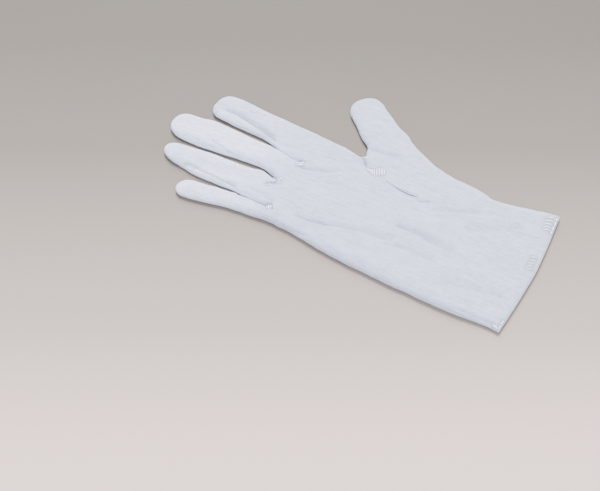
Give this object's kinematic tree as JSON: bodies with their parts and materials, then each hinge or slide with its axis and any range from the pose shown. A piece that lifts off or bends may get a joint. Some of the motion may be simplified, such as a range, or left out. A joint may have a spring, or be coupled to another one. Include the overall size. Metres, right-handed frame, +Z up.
{
  "type": "cotton glove",
  "caption": "White sewn cotton glove for an adult's right hand, lying flat, palm up, with fork panels between the fingers, a set-in thumb and a short hemmed cuff.",
  "frame": {"origin": "middle of the footprint, on the table that the glove lies on", "axes": "+Y from the cuff towards the middle fingertip, +X towards the thumb, +Z up out of the palm side"},
  "size_m": [0.1318, 0.2442, 0.0083],
  "materials": {
    "white_cotton": "matt, fine cotton jersey"
  },
  "bodies": {
    "root": {"hand": "white_cotton", "thumb": "white_cotton", "fork_ring_little": "white_cotton", "fork_middle_ring": "white_cotton", "fork_index_middle": "white_cotton", "cuff_hem": "white_cotton"}
  },
  "joints": []
}
